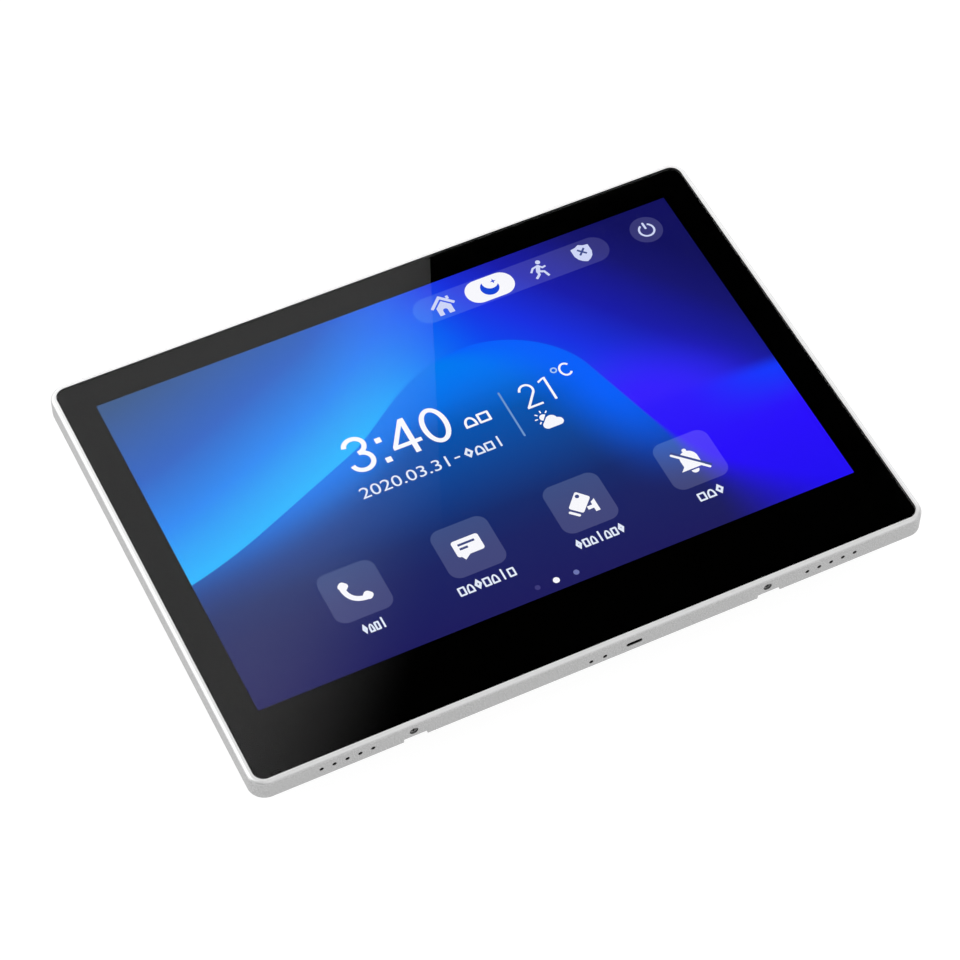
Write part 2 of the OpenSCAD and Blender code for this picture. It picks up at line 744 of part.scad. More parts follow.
// Tray that walls off the connector bay, bonded to the inside of the rear cover
module connector_tray() color("dimgray") difference() {
    block(-bay_w / 2 - bay_wall, bay_w / 2 + bay_wall, -box_h / 2 + cover_t + 0.1, bay_top + bay_wall,
        cover_t, bay_ceiling + ceiling_t);
    block(-bay_w / 2, bay_w / 2, -box_h / 2 - 1, bay_top, -1, bay_ceiling);
    block(jack_x - jack_w / 2 - 0.2, jack_x + jack_w / 2 + 0.2, bay_top - 1, bay_top + 3,
        0, board_back + 0.1);
    for (c = [[power_x, power_ways], [io_x, io_ways]]) {
        w = terminal_width(c[1]) + 2 * header_wall + 0.4;
        block(c[0] - w / 2, c[0] + w / 2, bay_top - 1, bay_top + 3, header_z0 - 0.2, bay_ceiling);
    }
}

// Rear cover: a flange inside the frame with a raised box behind it
module cover_shell() {
    difference() {
        union() {
            plate(body_w - 2 * wall_t - 0.4, body_h - 2 * wall_t - 0.4, flange_t, flange_back, 3.4);
            plate(box_w, box_h, flange_back + 0.1, 0, box_r);
        }
        plate(box_w - 2 * cover_t, box_h - 2 * cover_t, body_t, cover_t, box_r - cover_t);
    }
    for (at = io_screw_at) translate([at[0], at[1], flange_front - 0.1])
        cylinder(d = 4.6, h = io_back - flange_front + 0.1, $fn = 32);
    for (x = [-74, -20, 20, 74], y = [-20, 30]) block(x - 0.8, x + 0.8, y, y + 18, cover_t - 0.1, 4.2);
}

module rear_cover() color("black") difference() {
    cover_shell();
    block(-bay_w / 2, bay_w / 2, -box_h / 2 - 1, bay_top, -1, bay_ceiling);
    for (x = [-1, 1], y = [-1, 1]) translate([x * slot_dx / 2, y * slot_dy / 2, -1])
        linear_extrude(cover_t + 2) round_slot(slot_len, slot_w);
    for (i = [-6:6]) translate([i * 6, 8, -1]) rotate([0, 0, 90])
        linear_extrude(cover_t + 2) round_slot(34, 2.2);
    for (at = rear_screw_at) translate([at[0], at[1], flange_back - 1])
        cylinder(d = board_hole_d, h = flange_t + 2, $fn = 24);
    for (at = chassis_screw_at) translate([at[0], at[1], flange_back - 1])
        cylinder(d = 5.2, h = flange_t + 2, $fn = 32);
    for (at = io_screw_at) translate([at[0], at[1], flange_front])
        cylinder(d = 2, h = 4, $fn = 24);
    for (x = [notch_left_x, notch_right_x]) {
        block(x - notch_w / 2, x + notch_w / 2, tab_slot_y, tab_slot_y + tab_slot_h,
            flange_back - 1, flange_front + 1);
    }
}

module rear_screws() color("dimgray")
    for (at = rear_screw_at) screw_up(at, flange_back, 4.2, 0.9);

front_frame();
inner_frame();
cover_glass();
border_print();
glass_tape();
lcd_cell();
diffuser_sheet();
light_guide();
reflector_sheet();
led_strip();
backlight_tray();
lcd_foam();
chassis_plate();
chassis_screws();
main_board();
processor();
thermal_pad();
board_chips();
capacitors();
coils();
wifi_shield();
network_transformer();
relay();
coin_cell_holder();
coin_cell();
board_connectors();
board_screws();
ethernet_jack();
ethernet_contacts();
power_header();
io_header();
terminal_pins();
power_plug();
power_plug_screws();
io_plug();
io_plug_screws();
io_board();
io_board_screws();
microphone();
microphone_boot();
reset_switch();
reset_button();
service_port();
service_port_tongue();
speaker_left();
speaker_right();
speaker_gaskets();
lock_screw_left();
lock_clip_left();
lock_screw_right();
lock_clip_right();
wifi_antenna();
antenna_cable();
speaker_cables();
lcd_flex();
touch_flex();
io_flex();
connector_tray();
rear_cover();
rear_screws();
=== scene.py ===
import math

import bpy
from mathutils import Matrix, Vector
from mathutils.geometry import tessellate_polygon


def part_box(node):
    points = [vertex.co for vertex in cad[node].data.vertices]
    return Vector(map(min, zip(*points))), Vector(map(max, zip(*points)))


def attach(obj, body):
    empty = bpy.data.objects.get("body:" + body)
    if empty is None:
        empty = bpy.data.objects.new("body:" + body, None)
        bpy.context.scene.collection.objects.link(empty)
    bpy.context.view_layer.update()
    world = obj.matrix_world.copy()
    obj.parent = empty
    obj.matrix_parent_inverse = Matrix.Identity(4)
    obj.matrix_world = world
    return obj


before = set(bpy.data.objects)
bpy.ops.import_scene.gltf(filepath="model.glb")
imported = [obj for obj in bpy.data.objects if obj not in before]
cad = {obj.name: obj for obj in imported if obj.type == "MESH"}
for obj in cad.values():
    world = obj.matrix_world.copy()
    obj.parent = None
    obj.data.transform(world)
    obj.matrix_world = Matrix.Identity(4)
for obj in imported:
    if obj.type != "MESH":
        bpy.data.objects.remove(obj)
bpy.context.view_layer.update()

MM = 0.001
BODY = "monitor"

# The lit picture, from the CAD: its middle, and the levels above and below the drawn shapes
lcd_low, lcd_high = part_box("lcd_cell")
print_low, print_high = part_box("border_print")
frame_low, frame_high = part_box("front_frame")
SCREEN = (lcd_low + lcd_high) / 2
SHAPE_Z = (lcd_high.z + print_low.z) / 2
PICTURE_W = 216.96
PICTURE_H = 135.6
# Heights between which the holes through the bottom wall lie, and between which their bores get painted shade
HOLES_LOW = 15.6
HOLES_HIGH = 20.2
# Height where the frame's rounded front edge begins, and with it the painted highlight on that edge
EDGE_LOW = frame_high.z / MM - 1.4
# The glass takes this much from what the screen gives off
GLASS_LOSS = 0.977


# ---------------------------------------------------------------- materials


def srgb(r, g, b):
    """Colour as it is seen, 0 to 255, as linear light."""

    def linear(v):
        v /= 255
        return v / 12.92 if v <= 0.04045 else ((v + 0.055) / 1.055) ** 2.4

    return (linear(r), linear(g), linear(b), 1.0)


class Value:
    """A number that a material works out at each point."""

    def __init__(self, tree, socket):
        self.tree = tree
        self.socket = socket

    def math(self, operation, *others, clamp=False):
        node = self.tree.nodes.new("ShaderNodeMath")
        node.operation = operation
        node.use_clamp = clamp
        for i, v in enumerate((self, *others)):
            feed(self.tree, node.inputs[i], v)
        return Value(self.tree, node.outputs[0])

    def __add__(self, other):
        return self.math("ADD", other)

    def __sub__(self, other):
        return self.math("SUBTRACT", other)

    def __mul__(self, other):
        return self.math("MULTIPLY", other)

    def __truediv__(self, other):
        return self.math("DIVIDE", other)

    def smooth(self, low, high):
        """0 below low and 1 above high, with a soft change between them."""
        node = self.tree.nodes.new("ShaderNodeMapRange")
        node.interpolation_type = "SMOOTHSTEP"
        feed(self.tree, node.inputs["Value"], self)
        feed(self.tree, node.inputs["From Min"], low)
        feed(self.tree, node.inputs["From Max"], high)
        return Value(self.tree, node.outputs["Result"])

    def ramp(self, stops):
        """A colour that changes with this value: stops are (value, colour)."""
        low, high = stops[0][0], stops[-1][0]
        node = self.tree.nodes.new("ShaderNodeValToRGB")
        node.color_ramp.interpolation = "EASE" if len(stops) == 2 else "LINEAR"
        feed(self.tree, node.inputs[0], (self - low) / (high - low))
        ramp = node.color_ramp
        while len(ramp.elements) < len(stops):
            ramp.elements.new(0.5)
        for element, (at, _) in zip(ramp.elements, stops):
            element.position = (at - low) / (high - low)
        for element, (_, colour) in zip(ramp.elements, stops):
            element.color = (*colour[:3], 1.0)
        return Value(self.tree, node.outputs["Color"])


def feed(tree, socket, value):
    if isinstance(value, Value):
        tree.links.new(value.socket, socket)
    elif hasattr(socket.default_value, "__len__") and not hasattr(value, "__len__"):
        socket.default_value = (value, value, value, 1.0)
    else:
        socket.default_value = value


def blend(a, b, amount, mode="MIX"):
    """Colour a changed to colour b by amount."""
    tree = next(v.tree for v in (a, b, amount) if isinstance(v, Value))
    node = tree.nodes.new("ShaderNodeMix")
    node.data_type = "RGBA"
    node.blend_type = mode
    feed(tree, node.inputs[0], amount)
    feed(tree, node.inputs[6], a)
    feed(tree, node.inputs[7], b)
    return Value(tree, node.outputs[2])


def gamma(colour, power):
    node = colour.tree.nodes.new("ShaderNodeGamma")
    feed(colour.tree, node.inputs[0], colour)
    feed(colour.tree, node.inputs[1], power)
    return Value(colour.tree, node.outputs[0])


def place(tree, centre=(0, 0, 0), scale=1 / MM):
    """Object coordinates from a centre, in mm, as three values."""
    where = tree.nodes.new("ShaderNodeTexCoord")
    parts = tree.nodes.new("ShaderNodeSeparateXYZ")
    tree.links.new(where.outputs["Object"], parts.inputs[0])
    return [
        (Value(tree, parts.outputs[i]) - centre[i]) * scale for i in range(3)
    ]


def noise(tree, grain, detail=2.0, stretch=(1, 1, 1), rough=0.5):
    """Noise from 0 to 1 whose grain is that many mm across."""
    where = tree.nodes.new("ShaderNodeTexCoord")
    mapping = tree.nodes.new("ShaderNodeMapping")
    mapping.inputs["Scale"].default_value = [s / (grain * MM) for s in stretch]
    node = tree.nodes.new("ShaderNodeTexNoise")
    node.inputs["Scale"].default_value = 1.0
    node.inputs["Detail"].default_value = detail
    node.inputs["Roughness"].default_value = rough
    tree.links.new(where.outputs["Object"], mapping.inputs[0])
    tree.links.new(mapping.outputs[0], node.inputs["Vector"])
    return Value(tree, node.outputs[0])


def bump(tree, height, strength, distance, rounded=None):
    """A normal for a height map; rounded is the radius of softened edges, in mm."""
    node = tree.nodes.new("ShaderNodeBump")
    node.inputs["Strength"].default_value = strength
    node.inputs["Distance"].default_value = distance * MM
    feed(tree, node.inputs["Height"], height)
    if rounded:
        edge = tree.nodes.new("ShaderNodeBevel")
        edge.samples = 6
        edge.inputs["Radius"].default_value = rounded * MM
        tree.links.new(edge.outputs[0], node.inputs["Normal"])
    return Value(tree, node.outputs[0])


def material(name):
    made = bpy.data.materials.new(name)
    made.use_nodes = True
    return made, made.node_tree, made.node_tree.nodes["Principled BSDF"]


def surface(name, low, high, rough=(0.4, 0.5), metal=0.0, grain=0.5, depth=0.02, strength=0.3,
            stretch=(1, 1, 1), rounded=None, specular=0.5, detail=3.0, patchy=0.4):
    """A procedural finish: colour, gloss and relief that vary with grains of a given size in mm."""
    made, tree, shader = material(name)
    fine = noise(tree, grain, detail, stretch)
    broad = noise(tree, grain * 14, 2.0)
    shade = (fine * (1 - patchy) + broad * patchy).smooth(0.3, 0.7)
    feed(tree, shader.inputs["Base Color"], blend(low, high, shade))
    feed(tree, shader.inputs["Roughness"], broad.smooth(0.3, 0.7) * (rough[1] - rough[0]) + rough[0])
    feed(tree, shader.inputs["Metallic"], metal)
    feed(tree, shader.inputs["Specular IOR Level"], specular)
    feed(tree, shader.inputs["Normal"], bump(tree, fine, strength, depth, rounded))
    return made


def grey(level):
    return (level, level, level, 1.0)


def dress(look, *names):
    for n in names:
        cad[n].data.materials.clear()
        cad[n].data.materials.append(look)


# ---------------------------------------------------------------- the picture on the screen


# The wallpaper's hill, in mm from the picture's middle. On its left a straight slope is rounded off over
# a stretch before the crest, and eases off at its foot.
CREST_X, CREST_Y = 20, 37
SLOPE = 0.42
ROUNDED = 60
LEFT_FOOT_X = -78
EASE = 0.003
# On its right a quarter of an oval leans outwards and goes on as a line, which spreads at its foot
OVAL_X, OVAL_Y = 25, 12
OVAL_RX, OVAL_RY = 28.2, 25
LEAN = 0.29
RIGHT_FOOT_Y = -42
SPREAD = 0.4


def left_slope(x):
    """Height of the hill's left side at x."""
    run = (x * -1 + CREST_X).math("MAXIMUM", 0.0)
    foot = (x * -1 + LEFT_FOOT_X).math("MAXIMUM", 0.0)
    return run * run.smooth(0, ROUNDED) * -SLOPE + foot * foot * EASE + CREST_Y


def right_flank(y):
    """Place of the hill's right side at y."""
    rise = ((y - OVAL_Y) / OVAL_RY).math("MAXIMUM", 0.0).math("MINIMUM", 1.0)
    bow = (rise * rise * -1 + 1).math("SQRT") * OVAL_RX + OVAL_X
    foot = (y * -1 + RIGHT_FOOT_Y).math("MAXIMUM", 0.0)
    return bow - y * LEAN + foot * SPREAD


def picture(tree):
    """The wallpaper: a dark blue hill under a light blue sky on the left and a violet one on the right."""
    x, y, _ = place(tree, SCREEN)
    above = y - left_slope(x)
    beyond = x - right_flank(y)
    softness = (y * -1 - 14).math("MAXIMUM", 0.0)
    softness = softness * softness * 0.008 + 0.5
    outside = above.smooth(-0.3, 0.3).math("MAXIMUM", beyond.smooth(softness * -1, softness))

    left_sky = above.ramp([
        (0, (0.01, 0.47, 1.0)),
        (24, (0.005, 0.235, 0.88)),
        (46, (0.012, 0.115, 0.54)),
        (80, (0.03, 0.09, 0.24)),
    ])
    slant = x * 0.8 + y * 0.6
    right_sky = slant.ramp([
        (36, (0.003, 0.07, 0.9)),
        (54, (0.01, 0.03, 0.76)),
        (72, (0.01, 0.012, 0.4)),
        (94, (0.008, 0.008, 0.16)),
        (108, (0.006, 0.006, 0.11)),
    ])
    violet = y.smooth(22, -8) * slant.smooth(82, 46)
    right_sky = blend(right_sky, (0.038, 0.015, 1.0, 1.0), violet)
    vivid = y.ramp([
        (-66, (0.016, 0.005, 0.9)),
        (-40, (0.022, 0.005, 0.98)),
        (-12, (0.03, 0.012, 0.98)),
    ])
    streak = y.smooth(-34, -15) * x.smooth(70, 108)
    vivid = blend(vivid, (0.007, 0.042, 0.99, 1.0), streak)
    right_sky = blend(right_sky, vivid, (y + x * 0.05).smooth(-5, -12))
    sky = blend(left_sky, right_sky, x.smooth(-40, 26))

    hill = y.ramp([
        (-68, (0.013, 0.012, 0.11)),
        (-42, (0.012, 0.018, 0.125)),
        (-30, (0.009, 0.025, 0.15)),
        (6, (0.003, 0.09, 0.43)),
        (18, (0.003, 0.15, 0.75)),
        (30, (0.003, 0.17, 0.96)),
    ])
    under_slope = above.smooth(-22, 0) * y.smooth(-25, 10) * 0.9
    hill = blend(hill, (0.0, 0.2, 0.88, 1.0), under_slope)
    flank = beyond.smooth(-28, -2) * y.smooth(-52, 4)
    hill = blend(hill, (0.003, 0.12, 0.98, 1.0), flank)
    return blend(hill, sky, outside), x, y


def rounded_box(x, y, centre, size, radius):
    """1 inside a rectangle with round corners and 0 outside it."""
    dx = ((x - centre[0]).math("ABSOLUTE") - (size[0] / 2 - radius)).math("MAXIMUM", 0.0)
    dy = ((y - centre[1]).math("ABSOLUTE") - (size[1] / 2 - radius)).math("MAXIMUM", 0.0)
    return (dx * dx + dy * dy).math("SQRT").smooth(radius + 0.08, radius - 0.08)


TILE_X = (-61.7, -20.8, 20.5, 61.8)
TILE_Y = -39.3


def lcd_material():
    made, tree, shader = material("lcd_picture")
    shown, x, y = picture(tree)
    # Panels that let some of the wallpaper through, laid over it as seen light
    seen = gamma(shown, 1 / 2.2)
    for cx in TILE_X:
        seen = blend(seen, grey(1.0), rounded_box(x, y, (cx, TILE_Y), (20.6, 20.8), 4) * 0.16)
    seen = blend(seen, grey(1.0), rounded_box(x, y, (42.9, 57.05), (75.2, 11.5), 5.7) * 0.13)
    seen = blend(seen, grey(1.0), rounded_box(x, y, (95.97, 57.2), (11.8, 11.8), 5.85) * 0.15)
    # The fine grid of the picture's dots is too small to see from afar and shows close up
    dots = tree.nodes.new("ShaderNodeTexBrick")
    dots.offset = 0.0
    dots.inputs["Color1"].default_value = grey(1.0)
    dots.inputs["Color2"].default_value = grey(0.985)
    dots.inputs["Mortar"].default_value = grey(0.93)
    dots.inputs["Scale"].default_value = 1 / (0.34 * MM)
    dots.inputs["Mortar Size"].default_value = 0.02
    where = tree.nodes.new("ShaderNodeTexCoord")
    tree.links.new(where.outputs["Object"], dots.inputs["Vector"])
    light = blend(gamma(seen, 2.2), Value(tree, dots.outputs["Color"]), 1.0, "MULTIPLY")
    lit = rounded_box(x, y, (0, 0), (PICTURE_W + 0.6, PICTURE_H + 0.6), 0.3)
    feed(tree, shader.inputs["Base Color"], blend(grey(0.001), grey(0.002), noise(tree, 3)))
    feed(tree, shader.inputs["Roughness"], noise(tree, 0.3) * 0.1 + 0.25)
    feed(tree, shader.inputs["Specular IOR Level"], 0.0)
    feed(tree, shader.inputs["Emission Color"], light)
    feed(tree, shader.inputs["Emission Strength"], lit * (1 / GLASS_LOSS))
    return made


def glow(name, colour, strength=1.0):
    """What a drawn shape on the screen gives off, with the faint unevenness of its dots."""
    made, tree, shader = material(name)
    fine = noise(tree, 0.34)
    feed(tree, shader.inputs["Base Color"], grey(0.002))
    feed(tree, shader.inputs["Roughness"], fine * 0.1 + 0.3)
    feed(tree, shader.inputs["Specular IOR Level"], 0.0)
    feed(tree, shader.inputs["Emission Color"], blend([c * 0.96 for c in colour[:3]] + [1.0], colour, fine))
    feed(tree, shader.inputs["Emission Strength"], strength / GLASS_LOSS)
    return made


# ---------------------------------------------------------------- outlines, in mm


def circle(cx, cy, r, n=48):
    return arc(cx, cy, r, 0, 360, n)[:-1]


def arc(cx, cy, r, a0, a1, n=24):
    steps = [math.radians(a0 + (a1 - a0) * i / n) for i in range(n + 1)]
    return [(cx + r * math.cos(a), cy + r * math.sin(a)) for a in steps]


def box(x0, y0, x1, y1, r=0.0):
    if not r:
        return [(x0, y0), (x1, y0), (x1, y1), (x0, y1)]
    return (arc(x1 - r, y1 - r, r, 0, 90, 8) + arc(x0 + r, y1 - r, r, 90, 180, 8)
            + arc(x0 + r, y0 + r, r, 180, 270, 8) + arc(x1 - r, y0 + r, r, 270, 360, 8))


def band(cx, cy, r_in, r_out, a0, a1, n=32):
    return arc(cx, cy, r_out, a0, a1, n) + arc(cx, cy, r_in, a1, a0, n)


def stroke(x0, y0, x1, y1, w):
    """A line with round ends."""
    a = math.degrees(math.atan2(y1 - y0, x1 - x0))
    return arc(x1, y1, w / 2, a - 90, a + 90, 10) + arc(x0, y0, w / 2, a + 90, a + 270, 10)


def turned(points, angle, cx, cy):
    c, s = math.cos(math.radians(angle)), math.sin(math.radians(angle))
    return [(cx + (x - cx) * c - (y - cy) * s, cy + (x - cx) * s + (y - cy) * c) for x, y in points]


def along(points, w):
    """A bent line of width w with square ends."""
    spots = [Vector(p) for p in points]
    left, right = [], []
    for i, spot in enumerate(spots):
        before = (spot - spots[i - 1]).normalized() if i else None
        after = (spots[i + 1] - spot).normalized() if i < len(spots) - 1 else None
        way = ((before or after) + (after or before)).normalized()
        across = Vector((-way.y, way.x)) * (w / 2 / max(way.dot(before or after), 0.3))
        left.append(tuple(spot + across))
        right.append(tuple(spot - across))
    return left + right[::-1]


def bend(a, c, b, n=14):
    """A curve from a to b that leans towards c."""
    a, b, c = Vector(a), Vector(b), Vector(c)
    steps = [i / n for i in range(n + 1)]
    return [tuple(a * (1 - t) ** 2 + c * 2 * t * (1 - t) + b * t * t) for t in steps]


def oval(cx, cy, rx, ry, a0=0, a1=360, n=40):
    points = [(cx + (x - cx) * rx, cy + (y - cy) * ry) for x, y in arc(cx, cy, 1, a0, a1, n)]
    return points[:-1] if a1 - a0 == 360 else points


def softened(points, r):
    """The same outline with round corners."""
    made = []
    for i, here in enumerate(points):
        here = Vector(here)
        back, on = Vector(points[i - 1]) - here, Vector(points[(i + 1) % len(points)]) - here
        made += bend(here + back.normalized() * r, here, here + on.normalized() * r, 5)
    return made


def add_mesh(name, verts, faces, look, body=BODY, smooth=False):
    mesh = bpy.data.meshes.new(name)
    mesh.from_pydata(verts, [], faces)
    mesh.update()
    mesh.materials.append(look)
    if smooth:
        mesh.shade_smooth()
    made = bpy.data.objects.new(name, mesh)
    bpy.context.scene.collection.objects.link(made)
    if body:
        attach(made, body)
    return made


def drawn(name, shapes, look, lift=0.0):
    """Flat shapes just over the screen panel. A shape is a list of loops: its outline, then its holes."""
    verts, faces = [], []
    for loops in shapes:
        loops = [[(x, y) for x, y in loop] for loop in loops]
        start = len(verts)
        for loop in loops:
            verts += [(SCREEN.x + x * MM, SCREEN.y + y * MM, SHAPE_Z + lift * MM) for x, y in loop]
        for tri in tessellate_polygon([[Vector((x, y, 0)) for x, y in loop] for loop in loops]):
            a, b, c = (Vector(verts[start + i]) for i in tri)
            flip = (b - a).cross(c - a).z < 0
            faces.append([start + i for i in (reversed(tri) if flip else tri)])
    return add_mesh(name, verts, faces, look)


def digits(text, x0, x1, y0, y1, weight=0.0):
    """Numerals as loops, fitted to a box in mm, from Blender's own plain face."""
    curve = bpy.data.curves.new("digits", "FONT")
    curve.body = text
    curve.offset = weight
    curve.resolution_u = 6
    holder = bpy.data.objects.new("digits", curve)
    bpy.context.scene.collection.objects.link(holder)
    bpy.context.view_layer.update()
    mesh = bpy.data.meshes.new_from_object(holder)
    xs = [v.co.x for v in mesh.vertices]
    ys = [v.co.y for v in mesh.vertices]
    sx, sy = (x1 - x0) / (max(xs) - min(xs)), (y1 - y0) / (max(ys) - min(ys))
    spots = [(x0 + (x - min(xs)) * sx, y0 + (y - min(ys)) * sy) for x, y in zip(xs, ys)]
    made = [[[spots[i] for i in face.vertices]] for face in mesh.polygons]
    bpy.data.objects.remove(holder)
    bpy.data.meshes.remove(mesh)
    bpy.data.curves.remove(curve)
    return made


def glyphs(pattern, x0, x1, base, height, w):
    """Plain marks in place of a word, which are no letters: diamonds, frames, half rings and posts."""
    made, step = [], (x1 - x0) / len(pattern)
    for i, kind in enumerate(pattern):
        a, b = x0 + (i + 0.06) * step, x0 + (i + 0.94) * step
        mid, rx, ry = (a + b) / 2, (b - a) / 2, height / 2
        if kind == "d":
            tips = ((1, 0), (0, 1), (-1, 0), (0, -1))
            loops = [[(mid + x * rx * k, base + ry + y * ry * k) for x, y in tips]
                     for k in (1.0, 1 - 1.5 * w / rx)]
        elif kind == "s":
            loops = [box(a, base, b, base + height * 0.8, w / 2),
                     box(a + w, base + w, b - w, base + height * 0.8 - w)]
        elif kind == "h":
            rim = oval(mid, base + height * 0.2, rx, height * 0.6, 0, 180, 16)[::-1]
            loops = [[(a, base)] + rim + [(b, base)],
                     oval(mid, base + w, rx - w, height * 0.8 - 2 * w, 0, 180, 16)]
        else:
            loops = [box(mid - w / 2, base, mid + w / 2, base + height, w / 3)]
        made.append(loops)
    return made


# ---------------------------------------------------------------- looks of the CAD nodes


def frame_material():
    """Bead-blasted aluminium with a painted highlight along its rounded front edge, where the metal colour is
    made lighter, and painted shade inside the holes of its bottom wall.
    """
    made = surface("bead_blasted_aluminium", grey(0.36), grey(0.56), rough=(0.42, 0.5), metal=1.0, grain=0.42,
                   depth=0.016, strength=0.4, patchy=0.08)
    tree = made.node_tree
    shader = tree.nodes["Principled BSDF"]
    x, y, z = place(tree, (0, 0, 0))
    # Painted shade: inside the bores of the holes through the bottom wall the colour goes near black, where
    # shade falls
    wall = frame_low.y / MM
    bore_shade_depth = y.smooth(wall + 0.15, wall + 0.45) * y.smooth(wall + 2.35, wall + 2.15)
    level = z.smooth(HOLES_LOW - 0.1, HOLES_LOW) * z.smooth(HOLES_HIGH + 0.1, HOLES_HIGH)
    across = x.math("ABSOLUTE").smooth(113, 112)
    metal = Value(tree, shader.inputs["Base Color"].links[0].from_socket)
    # Painted highlight: above this height the metal colour is lifted to a light grey, standing in for the
    # light that the rounded front edge mirrors
    rim = z.smooth(EDGE_LOW + 0.2, frame_high.z / MM - 0.05)
    metal = blend(metal, blend(grey(0.8), grey(0.88), noise(tree, 0.42)), rim)
    # The base colour carries the painted highlight on the front edge and the painted shade in the hole bores
    feed(tree, shader.inputs["Base Color"], blend(metal, grey(0.03), bore_shade_depth * level * across))
    return made


steel = surface("pressed_steel", grey(0.45), grey(0.6), rough=(0.25, 0.4), metal=1.0, grain=0.25,
                stretch=(0.05, 1, 1), depth=0.01, strength=0.2)
zinc = surface("zinc_plate", (0.5, 0.52, 0.55, 1), (0.66, 0.67, 0.7, 1), rough=(0.22, 0.38), metal=1.0,
               grain=0.15, depth=0.01, strength=0.3, rounded=0.12)
lock_steel = surface("lock_screw_steel", grey(0.14), grey(0.24), rough=(0.4, 0.55), metal=1.0, grain=0.12,
                     depth=0.01, strength=0.3, rounded=0.1)
black_oxide = surface("black_oxide", grey(0.02), grey(0.045), rough=(0.35, 0.5), metal=0.6, grain=0.15,
                      depth=0.01, strength=0.3, rounded=0.12)
tin = surface("tin_plate", grey(0.6), grey(0.72), rough=(0.2, 0.32), metal=1.0, grain=0.2, depth=0.005)
gold = surface("gold_flash", (0.7, 0.5, 0.16, 1), (0.85, 0.65, 0.28, 1), rough=(0.2, 0.3), metal=1.0,
               grain=0.2, depth=0.005)
can = surface("drawn_aluminium", grey(0.62), grey(0.75), rough=(0.2, 0.3), metal=1.0, grain=0.2, depth=0.005)
cell = surface("nickel_plate", grey(0.6), grey(0.7), rough=(0.1, 0.2), metal=1.0, grain=0.4, depth=0.004)
cover = surface("spark_textured_plastic", grey(0.016), grey(0.03), rough=(0.5, 0.62), grain=0.3, depth=0.05,
                strength=0.55, rounded=0.4, specular=0.4)
black_plastic = surface("black_plastic", grey(0.012), grey(0.025), rough=(0.35, 0.5), grain=0.3, depth=0.03)
epoxy = surface("chip_epoxy", grey(0.015), grey(0.035), rough=(0.45, 0.6), grain=0.12, depth=0.01)
ivory = surface("ivory_plastic", (0.62, 0.58, 0.48, 1), (0.72, 0.68, 0.58, 1), rough=(0.35, 0.45),
                grain=0.4, depth=0.01)
green = surface("green_polyamide", (0.02, 0.2, 0.07, 1), (0.035, 0.27, 0.1, 1), rough=(0.35, 0.48),
                grain=0.35, depth=0.02, rounded=0.12)
rubber = surface("black_silicone", grey(0.01), grey(0.02), rough=(0.55, 0.7), grain=0.2, depth=0.01)
jacket = surface("cable_jacket", grey(0.02), grey(0.035), rough=(0.4, 0.5), grain=0.3, depth=0.01)
foam = surface("foam_tape", grey(0.01), grey(0.035), rough=(0.8, 0.95), grain=0.15, depth=0.05, strength=0.8)
film = surface("optical_film", (0.75, 0.77, 0.8, 1), (0.88, 0.9, 0.9, 1), rough=(0.15, 0.3), grain=0.2,
               depth=0.004)
leds = surface("led_board", (0.7, 0.62, 0.3, 1), (0.85, 0.82, 0.7, 1), rough=(0.4, 0.5), grain=0.8,
               depth=0.01)
pad = surface("thermal_pad", (0.25, 0.4, 0.55, 1), (0.32, 0.5, 0.65, 1), rough=(0.6, 0.75), grain=0.2,
              depth=0.02)
amber = surface("polyimide_film", (0.4, 0.14, 0.01, 1), (0.55, 0.22, 0.02, 1), rough=(0.2, 0.3), grain=0.5,
                stretch=(1, 0.05, 1), depth=0.01)
ink = surface("black_ink", grey(0.0003), grey(0.0006), rough=(0.4, 0.5), grain=0.1, depth=0.002, specular=0.0)


def board_material():
    """Green solder mask over copper tracks, which show as slightly lighter lines."""
    made, tree, shader = material("circuit_board")
    tracks = tree.nodes.new("ShaderNodeTexBrick")
    tracks.offset = 0.37
    tracks.inputs["Color1"].default_value = grey(0.2)
    tracks.inputs["Color2"].default_value = grey(0.9)
    tracks.inputs["Mortar"].default_value = grey(0.0)
    tracks.inputs["Scale"].default_value = 1 / (4 * MM)
    tracks.inputs["Mortar Size"].default_value = 0.06
    where = tree.nodes.new("ShaderNodeTexCoord")
    tree.links.new(where.outputs["Object"], tracks.inputs["Vector"])
    height = Value(tree, tracks.outputs["Color"]) * 0.7 + noise(tree, 0.5) * 0.3
    feed(tree, shader.inputs["Base Color"], blend((0.008, 0.07, 0.03, 1), (0.02, 0.16, 0.07, 1), height))
    feed(tree, shader.inputs["Roughness"], noise(tree, 2) * 0.15 + 0.28)
    feed(tree, shader.inputs["Normal"], bump(tree, height, 0.4, 0.03))
    return made


def glass_material():
    """Clear cover glass with an anti-glare coat, and the faintest unevenness of its polish."""
    made, tree, shader = material("cover_glass")
    feed(tree, shader.inputs["Base Color"], grey(1.0))
    feed(tree, shader.inputs["Transmission Weight"], 1.0)
    feed(tree, shader.inputs["IOR"], 1.22)
    feed(tree, shader.inputs["Roughness"], noise(tree, 40).smooth(0.2, 0.8) * 0.004)
    return made


